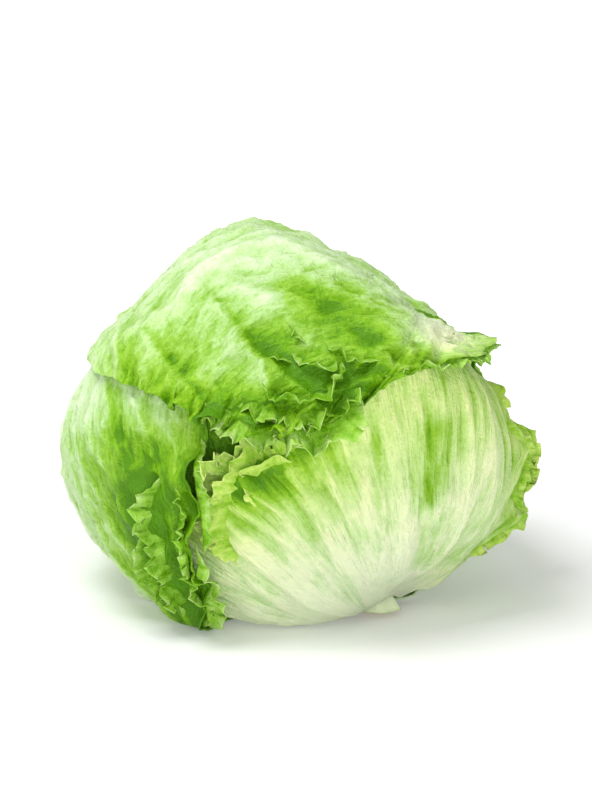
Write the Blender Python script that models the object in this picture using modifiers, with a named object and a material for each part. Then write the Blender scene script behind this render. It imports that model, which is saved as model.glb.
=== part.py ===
"""Iceberg lettuce: a tight heart on a short cut stem, wrapped in six loose outer leaves.

Units are metres, +Z is up. The head rests on its lower leaves, with the stem down and to the front right.
The origin is on the surface that the head rests on, under the middle of its box.
Directions from the head's middle are a longitude, 0 at the front (-Y) and growing to the right (+X),
and a latitude, growing upwards, both in degrees.
"""

from collections import namedtuple

import bmesh
import bpy
import numpy as np
from mathutils import Vector

# The head
HEAD_MIDDLE = np.array([-0.0026, 0.0023, 0.0720])
HEART_HALF_SIZE = np.array([0.0890, 0.0810, 0.0830])
HEART_SQUARENESS = 2.4
# Flats where the head grew against its neighbours: longitude, latitude, distance from the middle.
HEART_FLATS = [
    (111.5, 54.0, 0.0650),
    (103.0, 36.0, 0.0690),
    (-105.0, 38.0, 0.0725),
    (-85.0, -40.0, 0.0890),
    (65.0, -58.0, 0.0800),
]
FLAT_SHARPNESS = 10.0
# Broad ridges and hollows through all the layers: the ends, height and half width in millimetres.
HEAD_FOLDS = [
    ((62, -35), (60, 20), 2.0, 12.0),
    ((-28, 46), (10, 18), 2.4, 12.0),
    ((2, 58), (42, 34), -2.0, 13.0),
    ((-95, -12), (-45, -34), 1.6, 12.0),
]
STEM_DIRECTION = (41, -53)
BUTT_CONE_HEIGHT = 0.0020
BUTT_CONE_REACH = 55.0

# The heart's own leaves, lapped over each other in a spiral
HEART_SEGMENTS, HEART_RINGS = 40, 22
HEART_LAPS = 5
HEART_LAP_DEPTH = 0.0014
HEART_LAP_LEAN = 0.8

# The stem
STEM_HALF_ANGLE = 6.2
STEM_DEPTH_IN_HEART = 0.006
STEM_HOLE_LENGTH = 0.030
STEM_SIDES = 24
STEM_CLEARANCE = 0.0022
FIT_GAP = 0.0004

# The outer leaves
LEAF_THICKNESS = 0.0012
LEAF_PITCH = 0.0034
HEART_GAP = 0.0010
LEAF_EDGE_SLOPE = 0.016
BASE_ANGLE = 7.2
BASE_POINTS = 5
OUTLINE_POINTS = 160
RING_BIAS = 1.25
REST_ROUNDING = 0.0020

# The leaves' edges: a flare, and waves on it, which both fade inwards. Each wave is its spacing,
# its share of the frill's height and the distance that it fades over.
FRILL_FLARE, FRILL_FLARE_FADE = 0.38, 0.010
FRILL_WAVES = [(0.031, 0.55, 0.014), (0.019, 0.35, 0.009)]
FRILL_DRIFT, FRILL_DRIFT_SPACING = 1.3, 8.2
FRILL_LEAN = 0.45
LOBE_SPACING, LOBE_DEPTH = 0.025, 0.0024
LOBED_FRILL = 0.009

# Each leaf's ribs fan out from one place. They are raised where the leaf shows, and fade towards the edge.
RIB_ANGLES = [-75, -50, -25, 0, 25, 50, 75]
RIB_HEIGHT, RIB_HALF_WIDTH = 0.0022, 0.0048
RIB_START, RIB_FADE = 0.030, 0.030

# A leaf is drawn round its middle, and its ribs meet in a direction of their own. Its base lies round the
# stem: an azimuth, 0 up the front of the head and 90 to its left, and half a width. Its edge goes round it
# clockwise, from one end of the base to the other, as (longitude, latitude, height of the frill in
# millimetres). The grid is its squares each way.
Leaf = namedtuple("Leaf", "name middle ribs_meet base grid colour edge")

# From the heart outwards: each leaf lies on those before it.
LEAVES = [
    Leaf(
        "right_leaf", (122, -4), STEM_DIRECTION, (-95, 26), 18, (0.50, 0.72, 0.24),
        [(68, -42, 0), (84, -32, 0), (90, -18, 0), (90, -4, 0), (90, 8, 0), (91, 24, 0), (104, 42, 0),
         (128, 48, 0), (158, 40, 0), (170, 18, 0), (164, -8, 0), (148, -34, 0), (118, -54, 0), (80, -62, 0)],
    ),
    Leaf(
        "back_leaf", (172, -14), STEM_DIRECTION, (-160, 34), 18, (0.45, 0.70, 0.20),
        [(86, -58, 0), (110, -50, 0), (122, -34, 0), (126, -10, 0), (128, 18, 0), (134, 42, 0), (164, 62, 0),
         (-160, 60, 0), (-142, 42, 0), (-128, 18, 0), (-124, -8, 0), (-126, -34, 0), (-128, -60, 0),
         (-100, -80, 0), (10, -76, 0)],
    ),
    Leaf(
        "shoulder_leaf", (-50, 0), STEM_DIRECTION, (78, 28), 18, (0.42, 0.66, 0.18),
        [(8, -64, 0), (-60, -70, 0), (-122, -56, 0), (-128, -30, 0), (-130, 0, 0), (-128, 30, 0),
         (-105, 55, 0), (-60, 72, 0), (10, 66, 0), (38, 48, 0), (32, 30, 0), (16, 18, 4), (0, 3, 6),
         (-12, -6, 6), (-18, -16, 2), (-12, -28, 0), (2, -37, 0), (22, -44, 0)],
    ),
    Leaf(
        "front_leaf", (32, -16), STEM_DIRECTION, (8, 66), 32, (0.80, 0.90, 0.62),
        [(14, -63, 0), (-10, -62, 0), (-34, -52, 0), (-34, -30, 0), (-27, -14, 3), (-19, -1, 9), (-9, 7, 10),
         (2, 12, 4), (14, 26, 0), (36, 36, 0), (62, 34, 0), (86, 26, 0), (98, 12, 2), (99, -3, 8),
         (97, -14, 10), (92, -25, 10), (81, -36, 6), (62, -49, 1)],
    ),
    Leaf(
        "left_leaf", (-78, -36), STEM_DIRECTION, (150, 46), 24, (0.46, 0.70, 0.20),
        [(58, -66, 0), (110, -74, 1), (-168, -62, 2), (-152, -36, 6), (-152, -10, 8), (-146, 10, 6),
         (-120, 20, 1), (-85, 24, 0), (-56, 26, 0), (-38, 22, 0), (-30, 14, 3), (-29, 1, 6), (-25, -15, 7),
         (-21, -34, 8), (-24, -50, 6), (-10, -56, 1), (12, -56, 0)],
    ),
    Leaf(
        "top_leaf", (150, 33), (80, -15), (-152, 14), 26, (0.55, 0.78, 0.28),
        [(73, -47, 0), (90, -34, 1), (104, -17, 3), (111, -2, 4), (108, 11, 5), (94, 19, 7), (70, 21, 5),
         (50, 23, 6), (37, 23, 6), (24, 20, 5), (11, 13, 6), (-4, 10, 8), (-20, 12, 7), (-38, 18, 3),
         (-60, 20, 1), (-95, 18, 1), (-130, 20, 2), (-162, 22, 8), (174, 6, 8), (162, -18, 6), (146, -44, 4),
         (104, -67, 1)],
    ),
]


def unit(v):
    return v / np.linalg.norm(v, axis=-1, keepdims=True)


def towards(lon, lat):
    """Unit vectors in the directions with these longitudes and latitudes."""
    lon, lat = np.radians(lon), np.radians(lat)
    return np.stack([np.cos(lat) * np.sin(lon), -np.cos(lat) * np.cos(lon), np.sin(lat)], axis=-1)


def smooth_step(x):
    x = np.clip(x, 0, 1)
    return x * x * (3 - 2 * x)


STEM_AXIS = towards(*STEM_DIRECTION)
STEM_UP = unit(np.array([0, 0, 1]) - STEM_AXIS[2] * STEM_AXIS)
STEM_LEFT = np.cross(STEM_AXIS, STEM_UP)


def from_stem(azimuth, angle):
    """Unit vectors at an angle from the stem's axis, to the side that the azimuth gives."""
    azimuth, angle = np.radians(azimuth)[..., None], np.radians(angle)
    side = np.cos(azimuth) * STEM_UP + np.sin(azimuth) * STEM_LEFT
    return np.cos(angle) * STEM_AXIS + np.sin(angle) * side


def distance_to_arc(d, start, end):
    """Angle, in radians, from directions d to the great circle between two directions."""
    a, b = towards(*start), towards(*end)
    t = np.clip(((d - a) @ (b - a)) / ((b - a) @ (b - a)), 0, 1)
    nearest = unit(a + t[:, None] * (b - a))
    return 2 * np.arcsin(np.clip(np.linalg.norm(d - nearest, axis=1) / 2, 0, 1))


def head_radius(d):
    """Distance from the head's middle to the heart's surface: a squarish ellipsoid with flats and folds."""
    inverse = (np.abs(d / HEART_HALF_SIZE) ** HEART_SQUARENESS).sum(-1) ** (FLAT_SHARPNESS / HEART_SQUARENESS)
    for lon, lat, distance in HEART_FLATS:
        inverse += (np.maximum(d @ towards(lon, lat), 0) / distance) ** FLAT_SHARPNESS
    radius = inverse ** (-1 / FLAT_SHARPNESS)
    for start, end, height, half_width in HEAD_FOLDS:
        away = distance_to_arc(d, start, end) * HEART_HALF_SIZE.mean() * 1000 / half_width
        radius += height / 1000 * np.exp(-(away**2))
    from_axis = np.degrees(np.arccos(np.clip(d @ STEM_AXIS, -1, 1)))
    return radius + BUTT_CONE_HEIGHT * smooth_step(1 - from_axis / BUTT_CONE_REACH)


def rest_on(points, floor):
    """Presses points towards the head's middle until none is below the floor, with a rounded rim."""
    above = points[:, 2] - floor
    rounded = np.clip(above + REST_ROUNDING, 0, 2 * REST_ROUNDING) ** 2 / (4 * REST_ROUNDING)
    share = (floor + rounded - HEAD_MIDDLE[2]) / np.minimum(points[:, 2] - HEAD_MIDDLE[2], -REST_ROUNDING)
    pressed = HEAD_MIDDLE + (points - HEAD_MIDDLE) * share[:, None]
    return np.where((above > REST_ROUNDING)[:, None], points, pressed)


class Chart:
    """A flat drawing of the head seen from one direction, by stereographic projection."""

    def __init__(self, lon, lat):
        self.middle = towards(lon, lat)
        self.right = unit(np.cross([0, 0, 1.0], self.middle))
        self.up = np.cross(self.middle, self.right)

    def flatten(self, d):
        return np.stack([d @ self.right, d @ self.up], -1) / (1 + d @ self.middle)[..., None]

    def wrap(self, q):
        x, y = q[..., :1], q[..., 1:]
        square = x**2 + y**2
        return ((1 - square) * self.middle + 2 * x * self.right + 2 * y * self.up) / (1 + square)


def closed_spline(points, count):
    """A closed Catmull-Rom curve through the points, as a number of points evenly spaced along it."""
    p = np.vstack([points[-1:], points, points[:2]])
    fine = np.linspace(0, len(points) - 1e-9, 40 * len(points))
    k = fine.astype(int)
    u = (fine - k)[:, None]
    a, b, c, e = p[k], p[k + 1], p[k + 2], p[k + 3]
    curve = 0.5 * (2 * b + (c - a) * u + (2 * a - 5 * b + 4 * c - e) * u**2 + (3 * b - a - 3 * c + e) * u**3)
    length = np.concatenate([[0], np.cumsum(np.linalg.norm(np.diff(curve[:, :2], axis=0), axis=1))])
    even = np.arange(count) / count * length[-1]
    return np.stack([np.interp(even, length, column) for column in curve.T], -1)


class Blade:
    """A leaf laid flat on its chart. From its middle, all of its outline is in plain sight."""

    def __init__(self, leaf):
        self.chart = Chart(*leaf.middle)
        azimuth, half_width = leaf.base
        base = from_stem(azimuth + half_width * np.linspace(-1, 1, BASE_POINTS), BASE_ANGLE)
        lon, lat, frill = np.array(leaf.edge, float).T
        corners = self.chart.flatten(np.vstack([base, towards(lon, lat)]))
        self.root = self.chart.flatten(towards(*leaf.ribs_meet))
        frills = np.concatenate([np.zeros(BASE_POINTS), frill / 1000])
        self.outline = closed_spline(np.column_stack([corners, frills])[::-1], OUTLINE_POINTS)
        steps = np.diff(self.chart.wrap(self.outline[:, :2]), axis=0)
        self.edge_length = HEART_HALF_SIZE.mean() * np.linalg.norm(steps, axis=1).sum()
        turns = np.arange(OUTLINE_POINTS) / OUTLINE_POINTS
        lobes = np.sin(2 * np.pi * turns * round(self.edge_length / LOBE_SPACING))
        reach = LOBE_DEPTH / HEART_HALF_SIZE.mean() * lobes * self.outline[:, 2] / LOBED_FRILL
        self.outline[:, :2] *= (1 + reach)[:, None]

    def lay(self, turn, ring):
        """Where points are on the chart, a turn round the outline and a share of the way out to it.

        Gives also the way out at right angles to the edge, and the frill there.
        """
        ahead = np.roll(self.outline[:, :2], -1, axis=0) - np.roll(self.outline[:, :2], 1, axis=0)
        outwards = unit(ahead[:, ::-1] * [1, -1])
        rows = np.column_stack([self.outline, outwards])
        columns = np.vstack([rows, rows[:1]]).T
        turns = np.linspace(0, 1, OUTLINE_POINTS + 1)
        x, y, frill, *outwards = (np.interp(turn, turns, column) for column in columns)
        reach = np.hypot(x, y)
        q = np.stack([x, y], -1) * (np.tan(ring * np.arctan(reach)) / reach)[:, None]
        return q, np.stack(outwards, -1), frill

    def depth(self, d):
        """Distance in from the outline, in metres, in direction d. Outside the leaf it is negative."""
        q = self.chart.flatten(d)
        start, end = self.outline[:, :2], np.roll(self.outline[:, :2], -1, axis=0)
        along = end - start
        away = q[:, None] - start
        t = np.clip((away * along).sum(-1) / (along**2).sum(-1), 0, 1)
        distance = np.linalg.norm(away - t[..., None] * along, axis=-1).min(1)
        distance *= 2 * HEART_HALF_SIZE.mean() / (1 + (q**2).sum(-1))
        level = q[:, None, 1]
        crosses = (start[:, 1] > level) != (end[:, 1] > level)
        rise = np.where(along[:, 1] == 0, 1e-12, along[:, 1])
        crossing_at = start[:, 0] + (level - start[:, 1]) / rise * along[:, 0]
        inside = (crosses & (q[:, None, 0] < crossing_at)).sum(1) % 2 == 1
        return np.where(inside, distance, -distance)


    def ribs(self, q, depth):
        """The ribs' height at points of the chart, which are a depth in from the edge."""
        from_root = (q - self.root) * 2 * HEART_HALF_SIZE.mean() / (1 + (q**2).sum(-1))[:, None]
        along = unit(-self.root)
        height = np.zeros(len(q))
        for angle in np.radians(RIB_ANGLES):
            rib = np.cos(angle) * along + np.sin(angle) * np.array([-along[1], along[0]])
            ahead, aside = from_root @ rib, from_root @ [-rib[1], rib[0]]
            height += np.exp(-((aside / RIB_HALF_WIDTH) ** 2)) * smooth_step(ahead / RIB_START)
        return RIB_HEIGHT * height * smooth_step(depth / RIB_FADE)


BLADES = [Blade(leaf) for leaf in LEAVES]


def layers(blades, d):
    """How many of these leaves lie in direction d, falling off a little way outside the edge of each."""
    return sum((smooth_step(1 + blade.depth(d) / LEAF_EDGE_SLOPE) for blade in blades), np.zeros(len(d)))


def frill_height(index, turn, depth):
    """How far a leaf's edge stands out, per metre of frill: a flare, and waves that fade inwards."""
    height = FRILL_FLARE * np.exp(-depth / FRILL_FLARE_FADE)
    for spacing, share, fade in FRILL_WAVES:
        waves = 2 * np.pi * turn * BLADES[index].edge_length / spacing
        wave = 0.5 + 0.5 * np.sin(waves + FRILL_DRIFT * np.sin(waves / FRILL_DRIFT_SPACING + index))
        height += share * wave * np.exp(-depth / fade)
    return height


def leaf_points(index, turn, ring):
    """Points on the outer face of a leaf, which lies on every leaf before it in the list."""
    blade = BLADES[index]
    q, outwards, frill = blade.lay(turn, ring)
    d = blade.chart.wrap(q)
    outwards = unit(blade.chart.wrap(q + 1e-4 * outwards) - d)
    under = layers(BLADES[:index], d)
    above = layers(BLADES[index + 1 :], d)
    showing = smooth_step(1 - above)
    depth = np.maximum(blade.depth(d), 0)
    rise = frill * showing * frill_height(index, turn, depth)
    ribs = showing * blade.ribs(q, depth)
    points = HEAD_MIDDLE + d * (head_radius(d) + HEART_GAP + LEAF_PITCH * (1 + under) + rise + ribs)[:, None]
    points -= outwards * (FRILL_LEAN * rise)[:, None]
    return rest_on(points, LEAF_PITCH * above)


def material(name, colour, roughness):
    made = bpy.data.materials.new(name)
    made.use_nodes = True
    shader = made.node_tree.nodes["Principled BSDF"]
    shader.inputs["Base Color"].default_value = (*colour, 1)
    shader.inputs["Roughness"].default_value = roughness
    shader.inputs["Metallic"].default_value = 0
    return made


def adopt(made, name, collection, mat=None):
    """Names an object, moves it to the collection and gives it its material, or hides it as a cutter."""
    made.name = made.data.name = name
    for holder in list(made.users_collection):
        holder.objects.unlink(made)
    collection.objects.link(made)
    if mat:
        made.data.materials.append(mat)
    else:
        made.hide_render = True
        made.display_type = "WIRE"
    return made


def stem_rod(name, gap, start, end, collection, mat=None):
    """A round rod that widens along the stem's axis, between two distances from the head's middle."""
    widening = np.tan(np.radians(STEM_HALF_ANGLE))
    bpy.ops.mesh.primitive_cone_add(
        vertices=STEM_SIDES, radius1=start * widening + gap, radius2=end * widening + gap, depth=end - start,
        location=HEAD_MIDDLE + STEM_AXIS * (start + end) / 2,
        rotation=Vector(STEM_AXIS).to_track_quat("Z", "Y").to_euler(),
    )
    return adopt(bpy.context.object, name, collection, mat)


def make_stem(collection):
    """The stem's stump, cut level, just clear of the surface that the head rests on."""
    start = head_radius(STEM_AXIS[None])[0] - STEM_DEPTH_IN_HEART
    end = (STEM_CLEARANCE - HEAD_MIDDLE[2]) / STEM_AXIS[2]
    stem = stem_rod("stem", 0, start, end, collection, material("stem", (0.78, 0.74, 0.52), 0.6))
    place = stem.matrix_basis.copy()
    middle = Vector(HEAD_MIDDLE)
    for vertex in stem.data.vertices:
        if vertex.co.z > 0:
            ray = place @ vertex.co - middle
            ray *= (STEM_CLEARANCE - middle.z) / ray.z
            vertex.co = place.inverted() @ (middle + ray)
    return stem


def make_heart(collection, cutters):
    """The dense inner head: a sphere with its poles on the stem's axis, lapped, and cut out for the stem."""
    bpy.ops.mesh.primitive_uv_sphere_add(segments=HEART_SEGMENTS, ring_count=HEART_RINGS, radius=1)
    heart = adopt(bpy.context.object, "heart", collection, material("heart", (0.72, 0.86, 0.42), 0.5))
    co = np.array([vertex.co[:] for vertex in heart.data.vertices])
    d = unit(co[:, :1] * STEM_LEFT + co[:, 1:2] * STEM_UP - co[:, 2:] * STEM_AXIS)
    from_axis = np.arccos(np.clip(-co[:, 2], -1, 1))
    turn = np.arctan2(co[:, 1], co[:, 0]) / (2 * np.pi)
    lap = (turn * HEART_LAPS + HEART_LAP_LEAN * np.sin(from_axis)) % 1
    depth = HEART_LAP_DEPTH * np.sin(from_axis) * lap
    points = HEAD_MIDDLE + d * (head_radius(d) - depth)[:, None]
    points = rest_on(points, HEART_GAP + LEAF_PITCH * layers(BLADES, d))
    heart.data.vertices.foreach_set("co", points.ravel())
    heart.data.shade_smooth()
    inner = head_radius(STEM_AXIS[None])[0] - STEM_DEPTH_IN_HEART - FIT_GAP
    cutter = stem_rod("stem_hole", FIT_GAP, inner, inner + STEM_HOLE_LENGTH, cutters)
    hole = heart.modifiers.new("stem_hole", "BOOLEAN")
    hole.operation = "DIFFERENCE"
    hole.object = cutter
    return heart


def square_rings(co):
    """For points of a square grid: the turn round the square ring that each is on, and its size."""
    x, y = co[:, 0], co[:, 1]
    ring = np.maximum(np.abs(x), np.abs(y))
    u, v = np.stack([x, y]) / np.maximum(ring, 1e-9)
    sides = [y <= -ring, x >= ring, y >= ring]
    turn = np.select(sides, [(u + 1) / 8, (v + 3) / 8, (5 - u) / 8], (7 - v) / 8)
    return turn, ring


def make_leaf(index, collection):
    """A flat grid, drawn out to the leaf's outline, wrapped on the head, and thickened inwards."""
    leaf = LEAVES[index]
    bm = bmesh.new()
    bmesh.ops.create_grid(bm, x_segments=leaf.grid, y_segments=leaf.grid, size=1)
    turn, ring = square_rings(np.array([v.co[:] for v in bm.verts]).round(6))
    for vertex, point in zip(bm.verts, leaf_points(index, turn, 1 - (1 - ring) ** RING_BIAS)):
        vertex.co = point
    bmesh.ops.triangulate(bm, faces=bm.faces[:])
    mesh = bpy.data.meshes.new(leaf.name)
    bm.to_mesh(mesh)
    bm.free()
    mesh.shade_smooth()
    skin = material(leaf.name, leaf.colour, 0.45)
    made = adopt(bpy.data.objects.new(leaf.name, mesh), leaf.name, collection, skin)
    blade = made.modifiers.new("thickness", "SOLIDIFY")
    blade.thickness = LEAF_THICKNESS
    blade.offset = -1
    return made


for old in list(bpy.data.objects):
    bpy.data.objects.remove(old)
lettuce = bpy.data.collections.new("iceberg_lettuce")
helpers = bpy.data.collections.new("cutters")
bpy.context.scene.collection.children.link(lettuce)
bpy.context.scene.collection.children.link(helpers)
make_stem(lettuce)
make_heart(lettuce, helpers)
for number in range(len(LEAVES)):
    make_leaf(number, lettuce)
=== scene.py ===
"""A whole iceberg lettuce lying on a pale floor: six loose outer leaves round a tight heart on a cut stem.

Metres, +Z up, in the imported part's own frame. Directions from the head's middle are a longitude, 0 at the
front (-Y) and growing to the right (+X), and a latitude, growing upwards, both in degrees.
"""

from collections import namedtuple

import bpy
import numpy as np
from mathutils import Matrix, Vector


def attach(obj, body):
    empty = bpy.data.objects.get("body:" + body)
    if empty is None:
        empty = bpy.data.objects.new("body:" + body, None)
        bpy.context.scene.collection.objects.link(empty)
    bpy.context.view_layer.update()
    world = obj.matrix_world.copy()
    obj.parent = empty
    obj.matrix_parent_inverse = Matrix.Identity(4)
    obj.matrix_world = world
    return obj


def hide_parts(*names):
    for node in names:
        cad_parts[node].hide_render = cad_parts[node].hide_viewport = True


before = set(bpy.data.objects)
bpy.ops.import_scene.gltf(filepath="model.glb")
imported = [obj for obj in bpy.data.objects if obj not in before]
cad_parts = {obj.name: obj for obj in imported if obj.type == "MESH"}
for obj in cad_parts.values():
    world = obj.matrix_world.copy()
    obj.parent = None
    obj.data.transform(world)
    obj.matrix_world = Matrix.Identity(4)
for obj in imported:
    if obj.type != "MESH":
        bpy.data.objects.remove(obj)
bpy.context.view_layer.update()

# The wrapper leaves
# Six thin, waxy blades that grow from the stem and lap over each other round the heart, the outermost last.
# Each is drawn by its outline on a flat chart of the head, laid on the leaves before it, and given its ribs,
# wrinkles and waves. Where its free margin doubles back on itself, it stands up in tight curls.

# The form that they follow is a squarish ellipsoid with soft flats where the head grew against others, broad
# folds and a low cone round the butt, the same as the solids have. A flat is a direction and a distance.
HEAD_MIDDLE = np.array([-0.0026, 0.0023, 0.072])
HEART_HALF_SIZE = np.array([0.089, 0.081, 0.083])
HEAD_SIZE = HEART_HALF_SIZE.mean()
HEART_SQUARENESS = 2.4
HEART_FLATS = [
    (111.5, 54, 0.065), (103, 36, 0.069), (-105, 38, 0.0725), (-85, -40, 0.089), (65, -58, 0.08),
]
FLAT_SHARPNESS = 10.0
# Folds, raised or hollow: the ends of an arc, the height and the half width in millimetres
HEAD_FOLDS = [
    ((62, -35), (60, 20), 2, 12), ((-28, 46), (10, 18), 2.4, 12),
    ((2, 58), (42, 34), -2, 13), ((-95, -12), (-45, -34), 1.6, 12),
]
BUTT_CONE_HEIGHT, BUTT_CONE_REACH = 0.002, 55.0
REST_ROUNDING = 0.002


def unit(v):
    """Vectors divided by their lengths."""
    return v / np.linalg.norm(v, axis=-1, keepdims=True)


def towards(lon, lat):
    """Unit vectors in the directions with these longitudes and latitudes."""
    lon, lat = np.radians(lon), np.radians(lat)
    return np.stack([np.cos(lat) * np.sin(lon), -np.cos(lat) * np.cos(lon), np.sin(lat)], axis=-1)


def smooth_step(x):
    """3x^2 - 2x^3, from 0 at x = 0 to 1 at x = 1."""
    x = np.clip(x, 0, 1)
    return x * x * (3 - 2 * x)


STEM_DIRECTION = (41, -53)
STEM_AXIS = towards(*STEM_DIRECTION)
STEM_UP = unit(np.array([0, 0, 1]) - STEM_AXIS[2] * STEM_AXIS)
STEM_LEFT = np.cross(STEM_AXIS, STEM_UP)


def from_stem(azimuth, angle):
    """Unit vectors at an angle from the stem's axis, to the side that the azimuth gives, both in degrees."""
    azimuth, angle = np.radians(azimuth)[..., None], np.radians(angle)
    side = np.cos(azimuth) * STEM_UP + np.sin(azimuth) * STEM_LEFT
    return np.cos(angle) * STEM_AXIS + np.sin(angle) * side


def arc_distance(d, start, end):
    """Distance over the head, in metres, from directions d to the great circle between two directions."""
    a, b = towards(*start), towards(*end)
    t = np.clip(((d - a) @ (b - a)) / ((b - a) @ (b - a)), 0, 1)
    nearest = unit(a + t[:, None] * (b - a))
    return 2 * HEAD_SIZE * np.arcsin(np.clip(np.linalg.norm(d - nearest, axis=1) / 2, 0, 1))


def head_radius(d):
    """The ellipsoid and its flats joined by a power mean, a Gaussian ridge along each fold, and the cone."""
    inverse = (np.abs(d / HEART_HALF_SIZE) ** HEART_SQUARENESS).sum(-1) ** (FLAT_SHARPNESS / HEART_SQUARENESS)
    for lon, lat, distance in HEART_FLATS:
        inverse += (np.maximum(d @ towards(lon, lat), 0) / distance) ** FLAT_SHARPNESS
    radius = inverse ** (-1 / FLAT_SHARPNESS)
    for start, end, height, half_width in HEAD_FOLDS:
        radius += height / 1000 * np.exp(-((arc_distance(d, start, end) * 1000 / half_width) ** 2))
    from_axis = np.degrees(np.arccos(np.clip(d @ STEM_AXIS, -1, 1)))
    return radius + BUTT_CONE_HEIGHT * smooth_step(1 - from_axis / BUTT_CONE_REACH)


def rest_on(points, floor):
    """Presses points towards the head's middle until none is below the floor, with a rounded rim."""
    above = points[:, 2] - floor
    rounded = np.clip(above + REST_ROUNDING, 0, 2 * REST_ROUNDING) ** 2 / (4 * REST_ROUNDING)
    share = (floor + rounded - HEAD_MIDDLE[2]) / np.minimum(points[:, 2] - HEAD_MIDDLE[2], -REST_ROUNDING)
    pressed = HEAD_MIDDLE + (points - HEAD_MIDDLE) * share[:, None]
    return np.where((above > REST_ROUNDING)[:, None], points, pressed)


NOISE_GAIN = 1.45


def noise(x, y, seed, period=None):
    """Gradient noise from -1 to 1: each lattice point's slope is turned by a hash of its place.

    With a period it repeats in x after that many cells.
    """
    xi, yi = np.floor(x).astype(np.int64), np.floor(y).astype(np.int64)
    fx, fy = x - xi, y - yi

    def corner(i, j):
        """The slope of one lattice point, carried to where the point is."""
        column = xi + i if period is None else (xi + i) % period
        h = (column * 374761393 + (yi + j) * 668265263 + seed * 974711) & 0xFFFFFFFF
        h = ((h ^ (h >> 13)) * 1274126177) & 0xFFFFFFFF
        angle = (h ^ (h >> 16)) * (2 * np.pi / 2**32)
        return np.cos(angle) * (fx - i) + np.sin(angle) * (fy - j)

    u, v = (t**3 * (t * (6 * t - 15) + 10) for t in (fx, fy))
    low = corner(0, 0) * (1 - u) + corner(1, 0) * u
    high = corner(0, 1) * (1 - u) + corner(1, 1) * u
    return NOISE_GAIN * (low * (1 - v) + high * v)


# A leaf has the middle of its chart, the direction where its ribs meet, its base's azimuth round the stem and
# half width, how many cells it is across, its finish, and its edge: longitude, latitude and frill height in
# millimetres.
Leaf = namedtuple("Leaf", "name middle ribs_meet base cells slot edge")

LEAVES = [
    Leaf("right_leaf", (122, -4), STEM_DIRECTION, (-95, 26), 130, "green_leaf",
         [(68, -42, 0), (84, -32, 0), (90, -18, 0), (90, -4, 0), (90, 8, 0), (91, 24, 0), (104, 42, 0),
          (128, 48, 0), (158, 40, 0), (170, 18, 0), (164, -8, 0), (148, -34, 0), (118, -54, 0),
          (80, -62, 0)]),
    Leaf("back_leaf", (172, -14), STEM_DIRECTION, (-160, 34), 140, "green_leaf",
         [(86, -58, 0), (110, -50, 0), (122, -34, 0), (126, -10, 0), (128, 18, 0), (134, 42, 0), (164, 62, 0),
          (-160, 60, 0), (-142, 42, 0), (-128, 18, 0), (-124, -8, 0), (-126, -34, 0), (-128, -60, 0),
          (-100, -80, 0), (10, -76, 0)]),
    Leaf("shoulder_leaf", (-50, 0), STEM_DIRECTION, (78, 28), 130, "green_leaf",
         [(8, -64, 0), (-60, -70, 0), (-122, -56, 0), (-128, -30, 0), (-130, 0, 0), (-128, 30, 0),
          (-105, 55, 0), (-60, 72, 0), (10, 66, 0), (38, 48, 0), (32, 30, 0), (16, 18, 4), (0, 3, 6),
          (-12, -6, 6), (-18, -16, 2), (-12, -28, 0), (2, -37, 0), (22, -44, 0)]),
    Leaf("front_leaf", (32, -16), STEM_DIRECTION, (8, 66), 200, "pale_leaf",
         [(14, -63, 0), (-10, -62, 0), (-34, -52, 0), (-34, -30, 0), (-27, -14, 3), (-19, -1, 9), (-9, 7, 10),
          (2, 12, 4), (14, 26, 0), (36, 36, 0), (62, 34, 0), (86, 26, 0), (98, 12, 2), (99, -3, 8),
          (97, -14, 10), (92, -25, 10), (81, -36, 6), (62, -49, 1)]),
    Leaf("left_leaf", (-78, -36), STEM_DIRECTION, (150, 46), 200, "green_leaf",
         [(58, -66, 0), (110, -74, 1), (-168, -62, 2), (-152, -36, 6), (-152, -10, 8), (-146, 10, 6),
          (-120, 20, 1), (-85, 24, 0), (-56, 26, 0), (-33, 22, 0), (-23, 15, 3), (-22, 2, 6), (-21, -15, 7),
          (-21, -34, 8), (-24, -50, 6), (-10, -56, 1), (12, -56, 0)]),
    Leaf("top_leaf", (150, 33), (68, -33), (-152, 14), 210, "green_leaf",
         [(73, -47, 0), (90, -34, 1), (104, -17, 3), (111, -2, 4), (108, 11, 5), (94, 19, 7), (70, 21, 5),
          (50, 23, 6), (37, 23, 6), (24, 20, 5), (11, 13, 6), (-4, 10, 8), (-20, 12, 7), (-38, 18, 3),
          (-60, 20, 1), (-95, 18, 1), (-130, 20, 2), (-162, 22, 8), (174, 6, 8), (162, -18, 6), (146, -44, 4),
          (104, -67, 1)]),
]
LEAF_THICKNESS = 0.0007
# One leaf lies a pitch above the next, and the first a gap above the heart. A later leaf comes down off the
# edge of an earlier one over the slope's length.
LEAF_PITCH, HEART_GAP, LEAF_EDGE_SLOPE = 0.0034, 0.001, 0.016
BASE_ANGLE, BASE_POINTS = 7.2, 5
COARSE_POINTS, FINE_POINTS, EVENED_POINTS = 160, 640, 6

# The edges' lobes and teeth: spacing, depth
LOBE_SPACING, LOBE_DEPTH, LOBED_FRILL = 0.025, 0.0024, 0.009
TEETH = [(0.011, 0.0022), (0.005, 0.0012)]
TOOTHED_FRILL, PLAIN_EDGE_TEETH = 0.006, 0.25
# The edges' flare, and the waves on it: spacing, share of the frill's height, and how far in they fade
FRILL_FLARE, FRILL_FLARE_FADE = 0.38, 0.01
FRILL_WAVES = [(0.031, 0.55, 0.014), (0.019, 0.35, 0.009), (0.0105, 0.3, 0.0065), (0.006, 0.17, 0.004)]
FRILL_DRIFT, FRILL_DRIFT_SPACING = 1.3, 8.2
FRILL_LEAN, FRILL_SWAY = 0.45, 0.1925
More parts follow.
